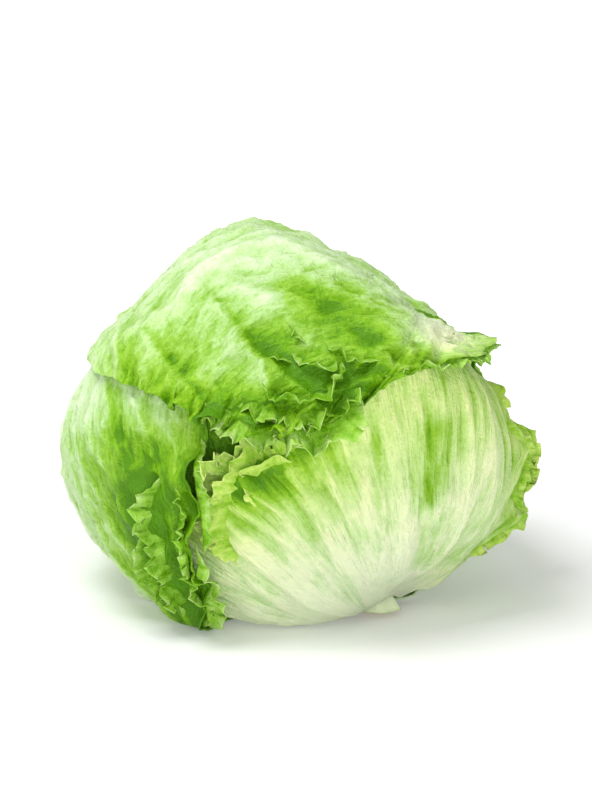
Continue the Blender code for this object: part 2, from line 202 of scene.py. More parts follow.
# How much noise moves the shorter waves' phase and height, with its spacings in radians of a wave
WAVE_STRAY, WAVE_STRAY_SPACING, WAVE_UNEVEN, WAVE_UNEVEN_SPACING = 2.5, 9, 0.8, 14

# The broad ribs that fan out from each base, as the solids have them
RIB_ANGLES = [-75, -50, -25, 0, 25, 50, 75]
RIB_HEIGHT, RIB_HALF_WIDTH, RIB_START, RIB_FADE = 0.0022, 0.0048, 0.03, 0.03


class Chart:
    """A flat drawing of the head seen from one direction, by stereographic projection."""

    def __init__(self, lon, lat):
        self.middle = towards(lon, lat)
        self.right = unit(np.cross([0, 0, 1.0], self.middle))
        self.up = np.cross(self.middle, self.right)

    def flatten(self, d):
        """Directions as points: their parts across the middle's line, over one plus their part along it."""
        return np.stack([d @ self.right, d @ self.up], -1) / (1 + d @ self.middle)[..., None]

    def wrap(self, q):
        """Points of the chart as directions, the other way round."""
        x, y = q[..., :1], q[..., 1:]
        square = x**2 + y**2
        return ((1 - square) * self.middle + 2 * x * self.right + 2 * y * self.up) / (1 + square)


def spline(points, count, closed=True):
    """A Catmull-Rom curve through the points, as a number of points evenly spaced along it."""
    p = np.vstack([points[-1:], points, points[:2]] if closed else [points[:1], points, points[-1:]])
    fine = np.linspace(0, len(p) - 3 - 1e-9, 40 * len(points))
    k = fine.astype(int)
    u = (fine - k)[:, None]
    a, b, c, e = p[k], p[k + 1], p[k + 2], p[k + 3]
    curve = 0.5 * (2 * b + (c - a) * u + (2 * a - 5 * b + 4 * c - e) * u**2 + (3 * b - a - 3 * c + e) * u**3)
    steps = np.diff(curve[:, :2] if closed else curve, axis=0)
    length = np.concatenate([[0], np.cumsum(np.linalg.norm(steps, axis=1))])
    even = np.linspace(0, length[-1], count, endpoint=not closed)
    return np.stack([np.interp(even, length, column) for column in curve.T], -1)


def inside_depth(chart, outline, d):
    """Distance in from a chart's outline, in metres, in directions d. Outside it is negative.

    It is the least distance to any of the outline's segments, signed by how often a level ray crosses them.
    """
    start, end = outline[:, :2], np.roll(outline[:, :2], -1, axis=0)
    along = end - start
    rise = np.where(along[:, 1] == 0, 1e-12, along[:, 1])
    depths = []
    for q in np.array_split(chart.flatten(d), max(1, len(d) * len(outline) // 2_000_000)):
        away = q[:, None] - start
        t = np.clip((away * along).sum(-1) / (along**2).sum(-1), 0, 1)
        distance = np.sqrt(((away - t[..., None] * along) ** 2).sum(-1).min(1))
        level = q[:, None, 1]
        crosses = (start[:, 1] > level) != (end[:, 1] > level)
        crossing_at = start[:, 0] + (level - start[:, 1]) / rise * along[:, 0]
        inside = (crosses & (q[:, None, 0] < crossing_at)).sum(1) % 2 == 1
        depths.append(np.where(inside, 1, -1) * distance * 2 * HEAD_SIZE / (1 + (q**2).sum(-1)))
    return np.concatenate(depths)


def evened(outline):
    """The outline with its direction from the middle averaged along it, so that no ray meets it twice."""
    angle = np.unwrap(np.arctan2(outline[:, 1], outline[:, 0]))
    whole = 2 * np.pi * np.sign(angle[-1] - angle[0])
    wide = np.concatenate([angle[-EVENED_POINTS:] - whole, angle, angle[:EVENED_POINTS] + whole])
    angle = np.convolve(wide, np.full(2 * EVENED_POINTS + 1, 1 / (2 * EVENED_POINTS + 1)), "valid")
    reach = np.hypot(outline[:, 0], outline[:, 1])
    return np.column_stack([reach * np.cos(angle), reach * np.sin(angle), outline[:, 2]])


class Blade:
    """A leaf laid flat on its chart, with a coarse outline and a fine one that has teeth, made of noise."""

    def __init__(self, index, leaf):
        self.chart = Chart(*leaf.middle)
        azimuth, half_width = leaf.base
        base = from_stem(azimuth + half_width * np.linspace(-1, 1, BASE_POINTS), BASE_ANGLE)
        lon, lat, frill = np.array(leaf.edge, float).T
        corners = self.chart.flatten(np.vstack([base, towards(lon, lat)]))
        self.root = self.chart.flatten(towards(*leaf.ribs_meet))
        frills = np.concatenate([np.zeros(BASE_POINTS), frill / 1000])
        drawn = np.column_stack([corners, frills])[::-1]
        self.coarse = spline(drawn, COARSE_POINTS)
        steps = np.diff(self.chart.wrap(self.coarse[:, :2]), axis=0)
        self.edge_length = HEAD_SIZE * np.linalg.norm(steps, axis=1).sum()
        self.coarse = self.lobed(self.coarse)
        self.fine = self.lobed(evened(spline(drawn, FINE_POINTS)))
        turns = np.arange(FINE_POINTS) / FINE_POINTS
        frilled = smooth_step(self.fine[:, 2] / TOOTHED_FRILL)
        frilled = PLAIN_EDGE_TEETH + (1 - PLAIN_EDGE_TEETH) * frilled
        for number, (spacing, tooth) in enumerate(TEETH):
            teeth = round(self.edge_length / spacing)
            bite = noise(turns * teeth, np.full(FINE_POINTS, 3.5), 40 * index + number, period=teeth)
            reach = tooth * frilled * bite
            self.fine[:, :2] *= (1 + reach / HEAD_SIZE)[:, None]

    def lobed(self, outline):
        """The outline moved out and in by a sine wave, as far as it is frilled."""
        turns = np.arange(len(outline)) / len(outline)
        lobes = np.sin(2 * np.pi * turns * round(self.edge_length / LOBE_SPACING))
        outline[:, :2] *= (1 + LOBE_DEPTH / HEAD_SIZE * lobes * outline[:, 2] / LOBED_FRILL)[:, None]
        return outline

    def lay(self, turn, ring):
        """Chart points at a turn round the outline and a share of the way out to it.

        With them come the direction straight out of the outline there, and the frill's height.
        """
        ahead = np.roll(self.coarse[:, :2], -1, axis=0) - np.roll(self.coarse[:, :2], 1, axis=0)
        outwards = unit(ahead[:, ::-1] * [1, -1])

        def read(rows):
            """A closed outline's columns, read off at the turns."""
            turns = np.linspace(0, 1, len(rows) + 1)
            return (np.interp(turn, turns, column) for column in np.vstack([rows, rows[:1]]).T)

        x, y, frill = read(self.fine)
        reach = np.hypot(x, y)
        q = np.stack([x, y], -1) * (np.tan(ring * np.arctan(reach)) / reach)[:, None]
        return q, np.stack(list(read(outwards)), -1), frill

    def fan(self, q):
        """Angle round where the ribs meet, log of the distance from there, and metres per radian."""
        along = unit(-self.root)
        away = q - self.root
        angle = np.arctan2(away @ [-along[1], along[0]], away @ along)
        distance = np.maximum(np.linalg.norm(away, axis=1), 1e-4)
        return angle, np.log(distance), distance * 2 * HEAD_SIZE / (1 + (q**2).sum(-1))


BLADES = [Blade(index, leaf) for index, leaf in enumerate(LEAVES)]


def layers(blades, d):
    """How many of these leaves lie in direction d, each falling off smoothly just outside its edge."""
    covers = (smooth_step(1 + inside_depth(b.chart, b.coarse, d) / LEAF_EDGE_SLOPE) for b in blades)
    return sum(covers, np.zeros(len(d)))


FAN_CELLS, OCTAVE_SHIFT, RIDGE_SHARPNESS = 6, 9.1, 2.2


def fan_noise(fan, wavelength, stretch, seed):
    """Noise whose cells keep one size and are stretched along the ribs: octaves swap as the fan widens."""
    angle, log_distance, metres = fan
    level = np.maximum(np.log2(metres / wavelength), 0)
    low = np.floor(level)
    share = smooth_step(level - low)
    total = np.zeros(len(angle))
    for octave, weight in ((low, 1 - share), (low + 1, share)):
        scale = 2.0**octave
        cells = FAN_CELLS * scale
        x = (angle / (2 * np.pi) + 0.5) * cells
        y = (log_distance + OCTAVE_SHIFT * octave) * scale / stretch
        total += weight * noise(x, y, seed, cells.astype(np.int64))
    return total / np.hypot(share, 1 - share)


def ridges(values):
    """Noise folded into narrow ridges, 1, with round hollows between them, about 0."""
    return 1 - np.minimum(np.abs(values) * RIDGE_SHARPNESS, 1)


def frill_waves(index, turn, depth):
    """The edge's height and its sway along itself, per metre of frill.

    The height is a flare and sine waves, and the sway is waves of twice their rate. All fade exponentially
    inwards. The shorter waves have their phase and height moved by noise.
    """
    height = FRILL_FLARE * np.exp(-depth / FRILL_FLARE_FADE)
    sway = np.zeros(len(turn))
    for number, (spacing, share, fade) in enumerate(FRILL_WAVES):
        waves = 2 * np.pi * turn * BLADES[index].edge_length / spacing
        phase = waves + FRILL_DRIFT * np.sin(waves / FRILL_DRIFT_SPACING + index)
        if number > 1:
            seed, row = 5 * index + number, np.full(len(turn), 0.5)
            phase += WAVE_STRAY * noise(waves / WAVE_STRAY_SPACING, row, seed)
            share = share * (1 + WAVE_UNEVEN * noise(waves / WAVE_UNEVEN_SPACING, row + 7, seed))
        faded = share * np.exp(-depth / fade)
        height += faded * (0.5 + 0.5 * np.sin(phase))
        sway += faded * np.sin(2 * phase)
    return height, sway


def ribs(fan, depth):
    """The heights of the ribs: Gaussian ridges along rays of the fan, which start and end smoothly."""
    angle, _, metres = fan
    broad = np.zeros(len(angle))
    for at in np.radians(RIB_ANGLES):
        aside, ahead = metres * np.sin(angle - at), metres * np.cos(angle - at)
        broad += np.exp(-((aside / RIB_HALF_WIDTH) ** 2)) * smooth_step(ahead / RIB_START)
    return RIB_HEIGHT * broad * smooth_step(depth / RIB_FADE)


# Sharp creases on a leaf: the ends of an arc, the height, and the half widths to its left and its right, the
# last three in millimetres
CREASES = {
    "top_leaf": [
        ((-27, 44), (-12, 33), 3.0, 1.4, 7.0), ((-12, 33), (9, 16), 3.4, 1.4, 7.0),
        ((-44, 32), (-24, 19), 1.8, 1.2, 4.0), ((20, 50), (40, 33), 1.4, 1.4, 4.0),
        ((-9, 34), (-6, 22), 1.6, 1.2, 3.0), ((-70, 42), (-46, 22), 1.4, 1.4, 4.0),
        ((85, 48), (98, 20), 1.3, 2.4, 4.0),
    ],
    "left_leaf": [
        ((-54, 20), (-36, -14), 2.2, 1.6, 4.5), ((-72, 6), (-48, -34), 2.0, 1.6, 4.5),
        ((-84, -6), (-66, -44), 1.8, 1.6, 4.5), ((-42, 16), (-28, -10), 1.6, 1.2, 3.0),
        ((-62, 2), (-50, -18), 1.4, 1.2, 3.0), ((-96, 10), (-80, -20), 1.4, 1.4, 3.5),
    ],
    "front_leaf": [
        ((58, -30), (60, 18), 2.2, 3.0, 3.0), ((26, -30), (24, 18), 1.6, 2.6, 2.6),
        ((42, -26), (46, 20), 1.2, 2.6, 2.6), ((24, -46), (-14, -20), 1.6, 1.3, 2.6),
        ((20, -50), (-12, -30), 1.3, 1.3, 2.2), ((28, -42), (-1, 2), 1.3, 1.5, 2.2),
        ((34, -42), (12, 13), 1.5, 1.5, 2.2), ((48, -40), (34, 16), 1.2, 1.6, 2.2),
        ((54, -42), (72, 14), 1.6, 1.6, 2.4), ((60, -44), (86, -4), 1.4, 1.6, 2.4),
    ],
}
# A margin without a frill lies down on the leaf under it by so much.
MARGIN_TUCK, TUCKED_FRILL = 0.0012, 0.005
# How a leaf wrinkles: the spacing of its folds and veins, with how far they stretch along the ribs, their
# heights, the height of its crumples, how far all of it is sunk, and the heights that a frilled margin adds
Wrinkles = namedtuple(
    "Wrinkles", "fold vein fold_height vein_height crumple sunk margin_crumple margin_pucker margin_vein"
)
WRINKLES = {
    "pale_leaf": Wrinkles((0.011, 9), (0.005, 7), 0.0013, 0.0006, 0, 0.0012, 0.0018, 0, 0.0008),
    "green_leaf": Wrinkles((0.013, 2.8), (0.0056, 2), 0.0017, 0.0012, 0.0009, 0.0018, 0.0026, 0.0012, 0.001),
}
CRUMPLE, PUCKER, WANDER, WANDER_TURN = (0.009, 1.3), (0.005, 1.0), (0.04, 1.5), 0.04
MARGIN_FADE, MARGIN_FRILL, TUCK_FADE = 0.018, 0.004, 0.005
# Where the painted shade beside a crease starts and how fast it fades, in millimetres
CREASE_SHADE_START, CREASE_SHADE_FADE = 1.5, 4.0
HIDDEN_RELIEF, RELIEF_START = 0.3, 0.05
# Shares of folds, veins and crumples in the crest that leaf colour follows: paler on crests, partly pale
# veins and partly painted highlight
CREST_FOLDS, CREST_VEINS, CREST_CRUMPLE = 0.5, 0.35, 0.25
FLOOR_GAP, FLOOR_MARGIN_FADE = 0.0002, 0.015


def leaf_surface(index, turn, ring):
    """Points on a leaf's outer face, and what its colours follow.

    The radius is the head's, plus a pitch for each leaf under it, the rise of the frill, the ribs, folded
    noise, crumples, and creases that fall off exponentially to each side. The frill sways along the edge and
    leans back by a share of its rise.
    """
    blade, leaf = BLADES[index], LEAVES[index]
    wrinkles = WRINKLES[leaf.slot]
    q, outwards, frill = blade.lay(turn, ring)
    d = blade.chart.wrap(q)
    outwards = unit(blade.chart.wrap(q + 1e-4 * outwards) - d)
    sideways = np.cross(outwards, d)
    under = layers(BLADES[:index], d)
    above = layers(BLADES[index + 1 :], d)
    showing = smooth_step(1 - above)
    depth = np.maximum(inside_depth(blade.chart, blade.coarse, d), 0)
    fan = angle, log_distance, metres = blade.fan(q)
    height, sway = frill_waves(index, turn, depth)
    rise = frill * showing * height
    wandered = angle + WANDER_TURN * fan_noise(fan, *WANDER, index + 60)
    wandered_fan = ((wandered + np.pi) % (2 * np.pi) - np.pi, log_distance, metres)
    margin = np.exp(-depth / MARGIN_FADE) * smooth_step(frill / MARGIN_FRILL)
    folds = ridges(fan_noise(wandered_fan, *wrinkles.fold, index + 10))
    veins = ridges(fan_noise(wandered_fan, *wrinkles.vein, index + 20))
    crumple = fan_noise(fan, *CRUMPLE, index + 30)
    pucker = fan_noise(fan, *PUCKER, index + 40)
    relief = wrinkles.fold_height * folds + wrinkles.vein_height * veins
    relief += wrinkles.crumple * crumple - wrinkles.sunk
    relief += margin * (wrinkles.margin_crumple * crumple + wrinkles.margin_pucker * pucker)
    relief += margin * wrinkles.margin_vein * veins
    relief *= (HIDDEN_RELIEF + (1 - HIDDEN_RELIEF) * showing) * smooth_step(metres / RELIEF_START)
    pleat, hollow = np.zeros(len(turn)), np.zeros(len(turn))
    for start, end, ridge, left, right in CREASES.get(leaf.name, []):
        on_left = d @ np.cross(towards(*start), towards(*end)) > 0
        away = arc_distance(d, start, end) * 1000
        pleat += ridge / 1000 * np.exp(-away / np.where(on_left, left, right))
        # Painted shade: the hollow on a crease's left side is coloured greener, as shade would darken it
        beside = on_left * smooth_step(away / CREASE_SHADE_START) * np.exp(-away / CREASE_SHADE_FADE)
        hollow = np.maximum(hollow, beside)
    tucked = np.exp(-depth / TUCK_FADE) * (1 - smooth_step(frill / TUCKED_FRILL))
    relief += pleat - MARGIN_TUCK * tucked
    raised = showing * ribs(fan, depth)
    radius = head_radius(d) + HEART_GAP + LEAF_PITCH * (1 + under) + rise + raised + relief
    points = HEAD_MIDDLE + d * radius[:, None]
    points += sideways * (FRILL_SWAY * frill * showing * sway)[:, None]
    points -= outwards * (FRILL_LEAN * rise)[:, None]
    thick_margin = LEAF_THICKNESS * np.exp(-depth / FLOOR_MARGIN_FADE)
    points = rest_on(points, LEAF_PITCH * above + FLOOR_GAP + thick_margin)
    # The crest that colour follows: paler veins, and a painted highlight on crests with painted shade between
    # them
    crest = CREST_FOLDS * folds + CREST_VEINS * veins + CREST_CRUMPLE * crumple
    rib = raised / RIB_HEIGHT
    follows = {"crest": crest, "margin": margin, "hollow": hollow, "rib": rib, "pleat": pleat * 1000}
    return points, follows, d, fan


# A curl is a strip of blade whose root runs along the leaf, and whose waves grow towards its free edge. It
# has the line of its root, its width in metres, its angles off the leaf at root and edge, how green and warm
# it is, and how strongly it curls.
Frill = namedtuple("Frill", "line width start end green warm curl", defaults=[1.0])

FRILLS = {
    "top_leaf": [
        Frill([(-25, 20), (-16, 16), (-8, 13), (0, 14), (7, 15), (12, 18), (16, 24)],
              0.0105, 2, 65, 0.7, 0.4),
        Frill([(-16, 21), (-6, 18), (3, 17), (9, 19), (14, 22), (17, 28)], 0.01, 18, 85, 0.8, 0.3),
        Frill([(-8, 26), (1, 23), (7, 23), (12, 26), (14, 31)], 0.01, 24, 95, 0.88, 0.2),
        Frill([(-1, 33), (5, 29), (10, 28), (13, 32)], 0.0095, 26, 95, 0.84, 0.2),
        Frill([(-3, 42), (3, 37), (9, 33)], 0.008, 25, 80, 0.78, 0.2),
        Frill([(9, 37), (14, 33), (20, 30), (26, 28)], 0.008, 24, 90, 0.84, 0.2),
        Frill([(-12, 31), (-4, 30), (3, 28)], 0.007, 24, 85, 0.8, 0.2),
        Frill([(18, 24), (26, 26), (36, 27), (46, 26), (60, 25), (74, 24), (88, 23), (98, 19)],
              0.0062, 5, 80, 0.78, 0.3),
    ],
    "front_leaf": [
        Frill([(13, 13), (3, 10), (-7, 7), (-14, 2), (-17, -6), (-17, -20)], 0.014, 8, 46, 0.46, 0.7, 0.6),
        Frill([(9, 9), (-2, 6), (-10, 2), (-13, -6), (-13, -17), (-12, -27)], 0.0115, 16, 62, 0.56, 0.8, 0.7),
        Frill([(3, 4), (-5, 2), (-9, -4), (-9, -12)], 0.0085, 22, 80, 0.5, 0.8, 0.8),
        Frill([(76, -38), (86, -28), (91, -15), (93, -2), (91, 10)], 0.0085, 5, 75, 0.58, 0.8),
        Frill([(80, -30), (86, -20), (88, -8), (88, 4)], 0.008, 20, 90, 0.66, 0.7),
    ],
    "left_leaf": [
        Frill([(-24, -44), (-22, -34), (-22, -24), (-22, -16)], 0.01, 0, 60, 0.66, 0.4),
        Frill([(-22, -18), (-22, -8), (-23, 2), (-24, 12)], 0.006, 0, 60, 0.76, 0.3),
        Frill([(-29, -44), (-28, -36), (-28, -24), (-29, -10), (-29, 3)], 0.011, 15, 80, 0.84, 0.3),
        Frill([(-33, 0), (-33, -12), (-32, -22), (-31, -35), (-31, -42)], 0.01, 14, 75, 0.8, 0.3),
        Frill([(-37, -12), (-36, -22), (-36, -32), (-38, -41)], 0.0075, 14, 75, 0.84, 0.3),
    ],
}
FRILL_STEP, FRILL_THICKNESS, FRILL_ROOT, FRILL_TAPER = 0.0007, 0.0003, 0.001, 0.012
# How far the root strays, the spacing of that, and how many points its height is averaged over
FRILL_STRAY, FRILL_STRAY_SPACING, ROOT_SMOOTHING = 0.0035, 0.016, 9
# The curls' waves: spacing, height at the given width
CURL_WIDTH, CURL_GROWTH, RUMPLE, RUMPLE_SPACING = 0.012, 1.4, 0.0008, 0.0045
CURLS = [(0.0105, 0.0024), (0.0058, 0.0022), (0.0033, 0.0014)]
# How far noise strays them and makes them uneven, with its spacings in waves, and their sway's share
CURL_STRAY, CURL_STRAY_WAVES, CURL_UNEVEN, CURL_UNEVEN_WAVES, CURL_SWAY = 4.5, 1.9, 0.7, 2.5, 0.45
# How far noise changes its reach, as a share, and its first and last angle, in degrees, with the spacings
RAGGED, RAGGED_SPACING, NIBBLED, NIBBLED_SPACING = 0.3, 0.009, 0.14, 0.0026
FIRST_TURN, FIRST_TURN_SPACING, LAST_TURN, LAST_TURN_SPACING = 18, 0.017, 40, 0.013
# How much greener a curl is at its root, what its free edge loses, how much paler its crests are as a painted
# highlight, and its veins' rates
ROOT_GREEN, EDGE_LOSS, CURL_CREST_HIGHLIGHT, RUMPLE_GREEN = 0.18, 0.3, 0.1, 0.18
CURL_VEINS_ALONG, CURL_VEINS_OUT = 400, 150


def grid_faces(rows, columns):
    """The squares of a grid of points, counter-clockwise seen from outside."""
    i, j = np.meshgrid(np.arange(rows), np.arange(columns), indexing="ij")
    corner = (i * (columns + 1) + j).ravel()
    return np.column_stack([corner, corner + 1, corner + columns + 2, corner + columns + 1])


def frill_strip(skin, frill, seed):
    """A curl's points, faces and colour attributes, for the points of the leaf that it stands on.

    Its section turns steadily from a first angle off the leaf to a last one as it goes out, in degrees. Sine
    waves with a power of the distance out as their height lift it, and waves of twice the rate sway it along
    the line. Noise moves its line, reach, angles and waves.
    """
    knots = towards(*np.array(frill.line, float).T)
    rough = spline(knots, 200, closed=False)
    length = HEAD_SIZE * np.linalg.norm(np.diff(rough, axis=0), axis=1).sum()
    count, across = int(length / FRILL_STEP), int(frill.width / FRILL_STEP)
    s = np.linspace(0, length, count)

    def wander(spacing, row):
        """Noise along the curl."""
        return noise(s / spacing, np.full(count, row + 0.5), seed)

    d = unit(spline(knots, count, closed=False))
    along = unit(np.gradient(d, axis=0))
    side = np.cross(along, d)
    d = unit(d + side * (FRILL_STRAY / HEAD_SIZE * wander(FRILL_STRAY_SPACING, 8))[:, None])
    from_middle = skin - HEAD_MIDDLE
    reach_out = np.linalg.norm(from_middle, axis=1)
    nearest = np.array([np.argmax(one) for one in d @ (from_middle / reach_out[:, None]).T])
    padded = np.pad(reach_out[nearest], ROOT_SMOOTHING // 2, "edge")
    radius = np.convolve(padded, np.ones(ROOT_SMOOTHING) / ROOT_SMOOTHING, "valid") - FRILL_ROOT
    taper = smooth_step(np.minimum(s, length - s) / FRILL_TAPER)
    ragged = 1 + RAGGED * wander(RAGGED_SPACING, 1) + NIBBLED * wander(NIBBLED_SPACING, 2)
    reach = frill.width * taper * ragged
    share = np.linspace(0, 1, across + 1)[None]
    out = reach[:, None] * share
    first = np.radians(frill.start + FIRST_TURN * wander(FIRST_TURN_SPACING, 3))[:, None]
    last = np.radians(frill.end + LAST_TURN * wander(LAST_TURN_SPACING, 4))[:, None]
    bend = (last - first) / frill.width
    angle = first + bend * out
    forwards = (np.sin(angle) - np.sin(first)) / bend
    upwards = (np.cos(first) - np.cos(angle)) / bend
    wave, sway = np.zeros_like(out), np.zeros_like(out)
    for number, (spacing, height) in enumerate(CURLS):
        phase = 2 * np.pi * s / spacing + CURL_STRAY * wander(CURL_STRAY_WAVES * spacing, 5 + number)
        uneven = 1 + CURL_UNEVEN * wander(CURL_UNEVEN_WAVES * spacing, 9 + number)
        grown = frill.curl * height * (out / CURL_WIDTH) ** CURL_GROWTH * uneven[:, None]
        wave += grown * np.sin(phase)[:, None]
        sway += CURL_SWAY * grown * np.sin(2 * phase)[:, None]
    rumple = noise(s[:, None] / RUMPLE_SPACING + 0 * out, out / RUMPLE_SPACING, seed + 3)
    wave += RUMPLE * rumple * share
    forwards -= wave * np.sin(angle)
    upwards += wave * np.cos(angle)
    points = HEAD_MIDDLE + d[:, None] * (radius[:, None] + np.maximum(upwards, 0))[..., None]
    points = points + forwards[..., None] * side[:, None] + sway[..., None] * along[:, None]
    # Paler where a curl's wave is high: a painted highlight on its crests
    crest = np.sin(phase)[:, None] * share
    green = frill.green + ROOT_GREEN - EDGE_LOSS * share - CURL_CREST_HIGHLIGHT * crest + RUMPLE_GREEN * rumple
    warm = np.full(green.size, frill.warm)
    flow = np.stack([(s * CURL_VEINS_ALONG)[:, None] + 0 * out, out * CURL_VEINS_OUT, 0 * out], -1)
    attributes = {"green": green.ravel(), "warm": warm, "flow": flow.reshape(-1, 3)}
    return rest_on(points.reshape(-1, 3), FRILL_ROOT), grid_faces(count - 1, across), attributes


# Leaf tissue is waxy and a little see-through, dark green between pale veins and bleached to cream where the
# head kept it shaded. Colours are given as a screen shows them, palest first.
GREEN_STOPS = [
    (0.00, (238, 251, 214)), (0.2, (214, 239, 188)), (0.42, (187, 223, 148)),
    (0.64, (148, 197, 76)), (0.84, (112, 168, 16)), (1.00, (82, 138, 4)),
]


def linear(r, g, b):
    """A colour given in 0-255 display values, as the linear values that shaders take."""
    c = np.array([r, g, b]) / 255
    return (*np.where(c <= 0.04045, c / 12.92, ((c + 0.055) / 1.055) ** 2.4).tolist(), 1)


def feed(tree, node, **sockets):
    """Sets or links a node's input sockets, each by its name or, after an underscore, its number."""
    for name, value in sockets.items():
        socket = node.inputs[int(name[1:])] if name[0] == "_" else node.inputs[name.replace("_", " ")]
        if isinstance(value, bpy.types.NodeSocket):
            tree.links.new(value, socket)
        else:
            socket.default_value = value


def add(tree, kind, **sockets):
    """A new node with its input sockets fed."""
    node = tree.nodes.new(kind)
    feed(tree, node, **sockets)
    return node


def maths(tree, operation, *values, clamp=False):
    """A Math node's result, its inputs set or linked in order."""
    node = add(tree, "ShaderNodeMath", **{f"_{i}": value for i, value in enumerate(values)})
    node.operation = operation
    node.use_clamp = clamp
    return node.outputs[0]


def speckle(tree, place, scale, detail, roughness=0.5):
    """A Noise Texture node's value, about 0.5 on the whole."""
    node = add(tree, "ShaderNodeTexNoise", Vector=place, Scale=scale, Detail=detail, Roughness=roughness)
    return node.outputs["Fac"]


def ramp(tree, factor, stops):
    """The colour that a factor meets between stops, each a position and a display colour."""
    node = add(tree, "ShaderNodeValToRGB", Fac=factor)
    elements = node.color_ramp.elements
    while len(elements) < len(stops):
        elements.new(0.5)
    for element, (position, colour) in zip(elements, stops):
        element.position, element.color = position, linear(*colour)
    return node.outputs["Color"]


def attribute(tree, name):
    """A node that reads one of a mesh's own attributes."""
    node = tree.nodes.new("ShaderNodeAttribute")
    node.attribute_name = name
    return node


def vein_lines(tree, place, scale, sharpness):
    """A net of lines, 1 on them and 0 between: where a noise pattern crosses its middle value."""
    pattern = speckle(tree, place, scale, 3.0, 0.6)
    off_line = maths(tree, "ABSOLUTE", maths(tree, "SUBTRACT", pattern, 0.5))
    return maths(tree, "MULTIPLY_ADD", off_line, -sharpness, 1.0, clamp=True)


def leaf_skin_group():
    """Leaf tissue: from how green and how warm a spot is, its colour, roughness and fine height.

    The green value is moved by blotches, and by veins and wrinkles, which are paler, and looked up in a
    colour ramp. Warmth takes blue out of it. The height is two nets of veins that follow the leaf's ribs, a
    third one of wrinkles, and pores.
    """
    group = bpy.data.node_groups.new("leaf_skin", "ShaderNodeTree")
    for name in ("Green", "Warm"):
        group.interface.new_socket(name, in_out="INPUT", socket_type="NodeSocketFloat")
    for name, kind in (("Color", "Color"), ("Roughness", "Float"), ("Height", "Float")):
        group.interface.new_socket(name, in_out="OUTPUT", socket_type="NodeSocket" + kind)
    given = group.nodes.new("NodeGroupInput")
    place = add(group, "ShaderNodeTexCoord").outputs["Object"]
    flow = attribute(group, "flow").outputs["Vector"]
    blotch = speckle(group, place, 70.0, 4.0, 0.6)
    wide = vein_lines(group, flow, 0.45, 5.0)
    fine = vein_lines(group, flow, 1.1, 5.0)
    wrinkles = vein_lines(group, place, 330.0, 6.0)
    pores = speckle(group, place, 900.0, 2.0)
    veins = maths(group, "MULTIPLY_ADD", wide, 0.6, maths(group, "MULTIPLY", fine, 0.4))
    shift = maths(group, "MULTIPLY_ADD", blotch, 0.5, -0.25)
    shift = maths(group, "MULTIPLY_ADD", maths(group, "SUBTRACT", veins, 0.55), -0.29, shift)
    shift = maths(group, "MULTIPLY_ADD", maths(group, "SUBTRACT", wrinkles, 0.45), -0.1, shift)
    green = maths(group, "ADD", given.outputs["Green"], shift, clamp=True)
    colour = ramp(group, green, GREEN_STOPS)
    warmer = group.nodes.new("ShaderNodeMix")
    warmer.data_type, warmer.blend_type = "RGBA", "MULTIPLY"
    feed(group, warmer, Factor=given.outputs["Warm"], _6=colour, _7=(1.06, 1.04, 0.3, 1))
    height = maths(group, "MULTIPLY_ADD", pores, 0.12, maths(group, "MULTIPLY", veins, 0.9))
    height = maths(group, "MULTIPLY_ADD", wrinkles, 0.3, height)
    rough = maths(group, "MULTIPLY_ADD", blotch, 0.25, 0.26)
    add(group, "NodeGroupOutput", Color=warmer.outputs[2], Roughness=rough, Height=height)
    return group


LEAF_SKIN = leaf_skin_group()


def new_material(name):
    """A material, with its node tree and its Principled shader."""
    made = bpy.data.materials.new(name)
    made.use_nodes = True
    return made, made.node_tree, made.node_tree.nodes["Principled BSDF"]


def leaf_material(name):
    """A waxy leaf: the skin group's colour over light scattered a few millimetres within the blade."""
    made, tree, shader = new_material(name)
    green, warm = (attribute(tree, follows).outputs["Fac"] for follows in ("green", "warm"))
    skin = tree.nodes.new("ShaderNodeGroup")
    skin.node_tree = LEAF_SKIN
    feed(tree, skin, Green=green, Warm=warm)
    bump = add(tree, "ShaderNodeBump", Height=skin.outputs["Height"], Strength=0.9, Distance=0.001)
    feed(tree, shader, Base_Color=skin.outputs["Color"], Roughness=skin.outputs["Roughness"])
    feed(tree, shader, Normal=bump.outputs["Normal"], Specular_IOR_Level=0.22, Subsurface_Weight=0.2)
    feed(tree, shader, Subsurface_Radius=(0.7, 1.0, 0.25), Subsurface_Scale=0.0015)
    return made


def surface(name, points, faces, attributes, material):
    """A mesh object at the origin from points and faces, with an attribute for each further array."""
    mesh = bpy.data.meshes.new(name)
    mesh.from_pydata(points.tolist(), [], faces if isinstance(faces, list) else faces.tolist())
    for key, values in attributes.items():
        kind, field = ("FLOAT_VECTOR", "vector") if values.ndim == 2 else ("FLOAT", "value")
        layer = mesh.attributes.new(key, kind, "POINT")
        layer.data.foreach_set(field, values.astype(np.float32).ravel())
    mesh.shade_smooth()
    mesh.materials.append(material)
    made = bpy.data.objects.new(name, mesh)
    bpy.context.scene.collection.objects.link(made)
    return made


def square_rings(co):
    """For points of a square grid: the turn round the square ring that each is on, and its size."""
    x, y = co[:, 0], co[:, 1]
    ring = np.maximum(np.abs(x), np.abs(y))
    u, v = np.stack([x, y]) / np.maximum(ring, 1e-9)
    sides = [y <= -ring, x >= ring, y >= ring]
    turn = np.select(sides, [(u + 1) / 8, (v + 3) / 8, (5 - u) / 8], (7 - v) / 8)
    return turn, ring


def thicken(blade, depth):
    """Gives a blade its thickness inwards, so that its outer face stays where it is."""
    thickness = blade.modifiers.new("thickness", "SOLIDIFY")
    thickness.thickness = depth
    thickness.offset = -1


# The power by which the rings of a leaf's grid crowd towards its margin
RING_BIAS = 1.4
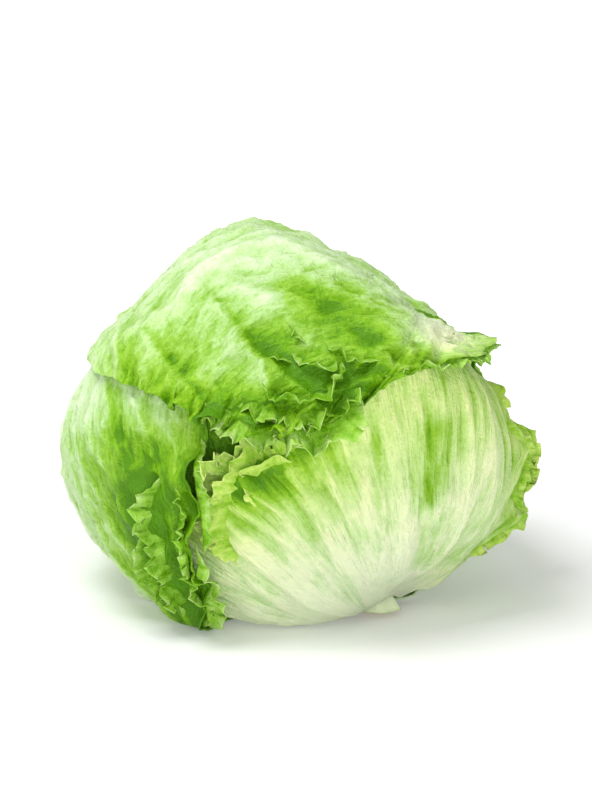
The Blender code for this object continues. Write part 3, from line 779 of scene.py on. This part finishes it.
# A leaf's greenness, how much that grows outwards, and its veins' rate round the base and out from it
Tint = namedtuple("Tint", "level growth across along")
TINTS = {
    "right_leaf": Tint(0.5, 0.25, 60, 20),
    "back_leaf": Tint(0.52, 0.25, 60, 20),
    "shoulder_leaf": Tint(0.9, 0.1, 60, 20),
    "front_leaf": Tint(0.2, 0.5, 60, 5),
    "left_leaf": Tint(0.46, 0.2, 60, 14),
    "top_leaf": Tint(0.46, 0.1, 55, 16),
}
# Greener and paler patches on it: the ends of an arc, half a width in millimetres, and the amount of green
PATCHES = {
    "top_leaf": [
        ((4, 49), (24, 35), 10, 0.42), ((-18, 17), (16, 23), 10, 0.26),
        ((-2, 34), (10, 22), 8, 0.22), ((-13, 35), (4, 25), 5, 0.26),
        ((-60, 55), (-10, 58), 25, -0.12), ((48, 34), (86, 28), 14, -0.5),
        ((44, 28), (78, 26), 7, -0.3), ((85, 48), (98, 20), 1.9, 0.85),
    ],
    "left_leaf": [
        ((-46, 3), (-32, -28), 12, 0.5), ((-80, 10), (-54, 10), 12, -0.22),
        ((-84, -14), (-60, -46), 9, -0.22), ((-36, -10), (-30, -50), 12, 0.3),
        ((-95, -5), (-84, -36), 12, -0.12),
    ],
    "front_leaf": [
        ((40, 8), (37, -8), 6, 0.42), ((-12, -2), (4, 10), 10, 0.25),
        ((58, -30), (60, 18), 5, -0.08), ((78, 4), (74, -28), 15, 0.22),
        ((-8, -30), (10, -40), 14, 0.1), ((46, -30), (66, -26), 11, 0.22),
        ((50, -14), (66, -18), 10, 0.16),
    ],
}
# What a leaf's green loses on its crests, partly paler veins and partly a painted highlight, with the hollows
# between greener as painted shade, and on its creases; and how warm it is, everywhere and further out
Tissue = namedtuple("Tissue", "crest_loss pleat_loss warmth outer_warmth")
TISSUES = {"pale_leaf": Tissue(0.52, 0.1, 0.05, 1.2), "green_leaf": Tissue(0.37, 0.03, 0, 0)}
# Green added at the margin, lost on ribs, and added beside creases as painted shade, and the margin's warmth
MARGIN_GREEN, RIB_LOSS, CREASE_SHADE_GREEN, MARGIN_WARMTH = 0.45, 0.12, 0.3, 0.5
MIDDLE_CREST, OUTER_START, OUTER_LENGTH = 0.35, 0.01, 0.105
# A leaf grows warm between the first green value and the second.
VIVID, VIVID_GREENS = 0.9, (0.6, 1.0)


def leaf_colours(leaf, follows, d, fan):
    """How green and warm each point is, and the flow that its veins follow.

    Green grows towards the margin, out along the ribs, beside creases as painted shade, and in the patches,
    whose strength is a
    Gaussian across an arc. It falls on ribs, on crests, partly as painted highlight, and on creases. Warmth
    follows strong greens and the margin.
    The flow is the angle round the base as a point on a circle, and the log of the distance out.
    """
    tint, tissue = TINTS[leaf.name], TISSUES[leaf.slot]
    angle, log_distance, metres = fan
    outwards = smooth_step((metres - OUTER_START) / OUTER_LENGTH)
    green = tint.level + tint.growth * (outwards - 0.5)
    green += MARGIN_GREEN * follows["margin"] + CREASE_SHADE_GREEN * follows["hollow"]
    # Paler on crests and greener between them: partly the veins' own paleness, partly painted highlight and
    # painted shade
    green -= tissue.crest_loss * (follows["crest"] - MIDDLE_CREST)
    green -= RIB_LOSS * follows["rib"] + tissue.pleat_loss * follows["pleat"]
    for start, end, half_width, amount in PATCHES.get(leaf.name, []):
        green += amount * np.exp(-((arc_distance(d, start, end) * 1000 / half_width) ** 2))
    least, most = VIVID_GREENS
    vivid = VIVID * smooth_step((green - least) / (most - least))
    warm = vivid + MARGIN_WARMTH * follows["margin"]
    warm += tissue.warmth + tissue.outer_warmth * tint.growth * outwards**2
    flow = [np.cos(angle) * tint.across, np.sin(angle) * tint.across, log_distance * tint.along]
    return {"green": green, "warm": np.clip(warm, 0, 1), "flow": np.column_stack(flow)}


def make_leaf(index):
    """A leaf's blade, a square grid drawn out to its outline, and its curls as one more piece."""
    leaf = LEAVES[index]
    line = np.linspace(-1, 1, leaf.cells + 1)
    y, x = np.meshgrid(line, line, indexing="ij")
    turn, ring = square_rings(np.column_stack([x.ravel(), y.ravel()]))
    points, follows, d, fan = leaf_surface(index, turn, 1 - (1 - ring) ** RING_BIAS)
    attributes = leaf_colours(leaf, follows, d, fan)
    faces = grid_faces(leaf.cells, leaf.cells)
    material = leaf_material(leaf.name)
    pieces = [surface(leaf.name + "_blade", points, faces, attributes, material)]
    frills = FRILLS.get(leaf.name, [])
    strips = [frill_strip(points, frill, 100 * index + 10 * n) for n, frill in enumerate(frills)]
    if strips:
        starts = np.cumsum([0] + [len(strip[0]) for strip in strips])
        curls = np.vstack([strip[0] for strip in strips])
        faces = np.vstack([strip[1] + start for strip, start in zip(strips, starts)])
        attributes = {key: np.concatenate([strip[2][key] for strip in strips]) for key in attributes}
        pieces.append(surface(leaf.name + "_frills", curls, faces, attributes, material))
    for piece, depth in zip(pieces, (LEAF_THICKNESS, FRILL_THICKNESS)):
        thicken(piece, depth)
        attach(piece, "root")
        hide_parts(leaf.name)


for number in range(len(LEAVES)):
    make_leaf(number)


# The heart
# Tightly lapped inner leaves, pale where the wrappers kept the light off. It is a round body about the stem's
# axis, stepped where each leaf laps the next, with a socket for the stem.
HEART_ROWS, HEART_COLUMNS = 110, 220
HEART_LAPS, HEART_LAP_DEPTH, HEART_LAP_LEAN = 5, 0.0014, 0.8
STEM_HALF_ANGLE, STEM_DEPTH_IN_HEART, FIT_GAP, SOCKET_RIM = 6.2, 0.006, 0.0004, 0.4
HEART_GREEN, HEART_LAP_GREEN, HEART_WARMTH = 0.18, 0.25, 0.3
HEART_VEINS_ROUND, HEART_VEINS_ALONG = 25, 9


def closed_rings(rows, count):
    """Faces between rings of points from one pole to the other, the poles being the last two points."""
    i, j = np.meshgrid(np.arange(rows - 1), np.arange(count), indexing="ij")
    after = (j + 1) % count
    sides = np.stack([i * count + j, i * count + after, (i + 1) * count + after, (i + 1) * count + j], -1)
    low, high, last = rows * count, rows * count + 1, (rows - 1) * count
    ring = [(k, (k + 1) % count) for k in range(count)]
    caps = [[low, b, a] for a, b in ring] + [[high, last + a, last + b] for a, b in ring]
    return sides.reshape(-1, 4).tolist() + caps


def round_stem(turn):
    """Unit vectors across the stem's axis, at angles round it in radians."""
    return np.cos(turn)[..., None] * STEM_LEFT + np.sin(turn)[..., None] * STEM_UP


def heart_points(rows, count):
    """The head's radius less a saw-tooth for the laps, round the stem's axis from the stem's pole."""
    angle = np.linspace(0, np.pi, rows + 2)[1:-1, None]
    turn = np.arange(count)[None] / count
    around = 2 * np.pi * turn
    d = np.cos(angle)[..., None] * STEM_AXIS + np.sin(angle)[..., None] * round_stem(around)
    d = np.vstack([d.reshape(-1, 3), STEM_AXIS, -STEM_AXIS])
    lap = np.append((turn * HEART_LAPS + HEART_LAP_LEAN * np.sin(angle)) % 1 * np.sin(angle), [0, 0])
    radius = head_radius(d) - HEART_LAP_DEPTH * lap
    socket = head_radius(STEM_AXIS[None])[0] - STEM_DEPTH_IN_HEART - FIT_GAP
    in_socket = np.degrees(np.arccos(np.clip(d @ STEM_AXIS, -1, 1))) < STEM_HALF_ANGLE + SOCKET_RIM
    points = HEAD_MIDDLE + d * np.where(in_socket, socket, radius)[:, None]
    flow = [
        np.append(HEART_VEINS_ROUND * np.cos(around) + 0 * angle, [0, 0]),
        np.append(HEART_VEINS_ROUND * np.sin(around) + 0 * angle, [0, 0]),
        np.append(HEART_VEINS_ALONG * angle + 0 * turn, [0, 28]),
    ]
    green = HEART_GREEN + HEART_LAP_GREEN * lap
    follows = {"green": green, "warm": HEART_WARMTH + 0 * lap, "flow": np.column_stack(flow)}
    return rest_on(points, HEART_GAP + LEAF_PITCH * layers(BLADES, d)), follows


heart_skin, heart_follows = heart_points(HEART_ROWS, HEART_COLUMNS)
heart_faces = closed_rings(HEART_ROWS, HEART_COLUMNS)
heart = surface("heart_leaves", heart_skin, heart_faces, heart_follows, leaf_material("heart"))
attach(heart, "root")
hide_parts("heart")


# The stem
# The stump that the head was cut from: pale, woody flesh, browned where the knife went through. It widens out
# from the heart and is cut level.
STEM_ROWS, STEM_COLUMNS = 40, 96
STEM_CLEARANCE = 0.0022
# Shares of the way from the heart to the middle of the cut: where the side ends, the rim is, and the cut's
# colour starts
SIDE_ENDS, RIM_AT, RIM_WIDTH, RIM_HEIGHT = 0.6, 0.62, 0.05, 0.0006
CUT_STARTS, CUT_BLUR, INNERMOST = 0.56, 0.06, 0.98
# Waves round the stem: their number, share of its width, and phase
FLUTES = [(7, 0.035, 0), (3, 0.02, 1)]
STEM_STOPS = [
    (0.0, (236, 246, 212)), (0.3, (220, 234, 186)), (0.6, (204, 198, 130)), (1.0, (150, 128, 68)),
]


def stem_points(rows, count):
    """Rays of one fluted cone, from inside the heart to the level cut, then in over the cut to its middle."""
    around = np.linspace(0, 2 * np.pi, count, endpoint=False)[None]
    along = np.linspace(0, 1, rows)[:, None]
    fluted = 1 + sum(share * np.sin(number * around + phase) for number, share, phase in FLUTES)
    spread = (np.tan(np.radians(STEM_HALF_ANGLE)) * fluted)[..., None]
    rays = STEM_AXIS + spread * round_stem(around)
    start = head_radius(STEM_AXIS[None])[0] - STEM_DEPTH_IN_HEART
    end = ((STEM_CLEARANCE - HEAD_MIDDLE[2]) / rays[..., 2])[..., None]
    on_side = np.minimum(along / SIDE_ENDS, 1)[..., None]
    inwards = smooth_step((along - SIDE_ENDS) / (1 - SIDE_ENDS))[..., None] * INNERMOST
    cut_middle = STEM_AXIS * (STEM_CLEARANCE - HEAD_MIDDLE[2]) / STEM_AXIS[2]
    side = rays * (start + (end - start) * on_side)
    points = HEAD_MIDDLE + side * (1 - inwards) + cut_middle * inwards
    points[..., 2] += RIM_HEIGHT * np.exp(-(((along - RIM_AT) / RIM_WIDTH) ** 2))
    points = np.vstack([points.reshape(-1, 3), HEAD_MIDDLE + STEM_AXIS * start, HEAD_MIDDLE + cut_middle])
    cut = np.append(smooth_step((along - CUT_STARTS) / CUT_BLUR) + 0 * around, [0, 1])
    return points, {"cut": cut}


def stem_material():
    """Cream flesh with fine grain, from noise, moved towards brown in blotches on the cut."""
    made, tree, shader = new_material("stem")
    place = add(tree, "ShaderNodeTexCoord").outputs["Object"]
    grain = speckle(tree, place, 420.0, 4.0, 0.7)
    stain = speckle(tree, place, 90.0, 3.0)
    browned = maths(tree, "MULTIPLY", attribute(tree, "cut").outputs["Fac"], stain)
    tone = maths(tree, "MULTIPLY_ADD", grain, 0.3, maths(tree, "MULTIPLY", browned, 1.1), clamp=True)
    bump = add(tree, "ShaderNodeBump", Height=grain, Strength=0.5, Distance=0.0006)
    rough = maths(tree, "MULTIPLY_ADD", browned, 0.3, 0.45)
    colour = ramp(tree, tone, STEM_STOPS)
    feed(tree, shader, Base_Color=colour, Roughness=rough, Normal=bump.outputs["Normal"])
    return made


stem_skin, stem_follows = stem_points(STEM_ROWS, STEM_COLUMNS)
stem_faces = closed_rings(STEM_ROWS, STEM_COLUMNS)
stem = surface("stem_stump", stem_skin, stem_faces, stem_follows, stem_material())
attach(stem, "root")
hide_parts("stem")


# The floor, the light and the camera
# A white studio sweep, glowing as painted light with a painted shadow round the head, under soft light from
# the upper left, seen a little from above.
floor_mesh = bpy.data.meshes.new("floor")
floor_mesh.from_pydata([(-6, -6, 0), (6, -6, 0), (6, 6, 0), (-6, 6, 0)], [], [(0, 1, 2, 3)])
floor = bpy.data.objects.new("floor", floor_mesh)
bpy.context.scene.collection.objects.link(floor)
floor_paint, floor_tree, floor_shader = new_material("floor")
# The floor glows as painted light: dimmer near the head as a painted shadow round it, white further out, and
# the glow also lights the leaves from below
floor_place = add(floor_tree, "ShaderNodeTexCoord").outputs["Object"]
from_head = add(floor_tree, "ShaderNodeVectorMath", _0=floor_place)
from_head.operation = "LENGTH"
far = maths(floor_tree, "MULTIPLY_ADD", from_head.outputs["Value"], 2.5, -0.35, clamp=True)
painted_floor_light = ramp(floor_tree, far, [(0.0, (138, 138, 138)), (1.0, (255, 255, 255))])
feed(floor_tree, floor_shader, Base_Color=(0.8, 0.8, 0.8, 1), Roughness=0.9, Specular_IOR_Level=0.2)
feed(floor_tree, floor_shader, Emission_Color=painted_floor_light, Emission_Strength=0.66)
floor_mesh.materials.append(floor_paint)

world = bpy.data.worlds.new("studio")
world.use_nodes = True
feed(world.node_tree, world.node_tree.nodes["Background"], Color=(1, 1, 1, 1), Strength=0.55)
bpy.context.scene.world = world


def soft_light(name, position, size, power):
    """A square area light that faces the head."""
    data = bpy.data.lights.new(name, "AREA")
    data.size, data.energy = size, power
    light = bpy.data.objects.new(name, data)
    light.location = position
    light.rotation_euler = (Vector(HEAD_MIDDLE) - Vector(position)).to_track_quat("-Z", "Y").to_euler()
    bpy.context.scene.collection.objects.link(light)


soft_light("key", (-0.42, -0.22, 1.2), 0.5, 10.5)
soft_light("fill", (0.2, -1.3, 0.16), 0.8, 7.2)

CAMERA_DISTANCE, CAMERA_ELEVATION, SENSOR_HEIGHT = 2.4, 15, 24
PIXELS_PER_METRE, PICTURE = 1 / 0.42e-3, (592, 789)
HEAD_PIXEL = (290, 420)

camera = bpy.data.objects.new("camera", bpy.data.cameras.new("camera"))
bpy.context.scene.collection.objects.link(camera)
bpy.context.scene.camera = camera
elevation = np.radians(CAMERA_ELEVATION)
look = Vector((0, np.cos(elevation), -np.sin(elevation)))
camera.location = Vector(HEAD_MIDDLE) - look * CAMERA_DISTANCE
camera.rotation_euler = look.to_track_quat("-Z", "Y").to_euler()
camera.data.sensor_fit = "VERTICAL"
camera.data.sensor_height = SENSOR_HEIGHT
camera.data.lens = SENSOR_HEIGHT * PIXELS_PER_METRE * CAMERA_DISTANCE / PICTURE[1]
camera.data.shift_x = (PICTURE[0] / 2 - HEAD_PIXEL[0]) / PICTURE[1]
camera.data.shift_y = (HEAD_PIXEL[1] - PICTURE[1] / 2) / PICTURE[1]
bpy.context.scene.view_settings.view_transform = "Standard"
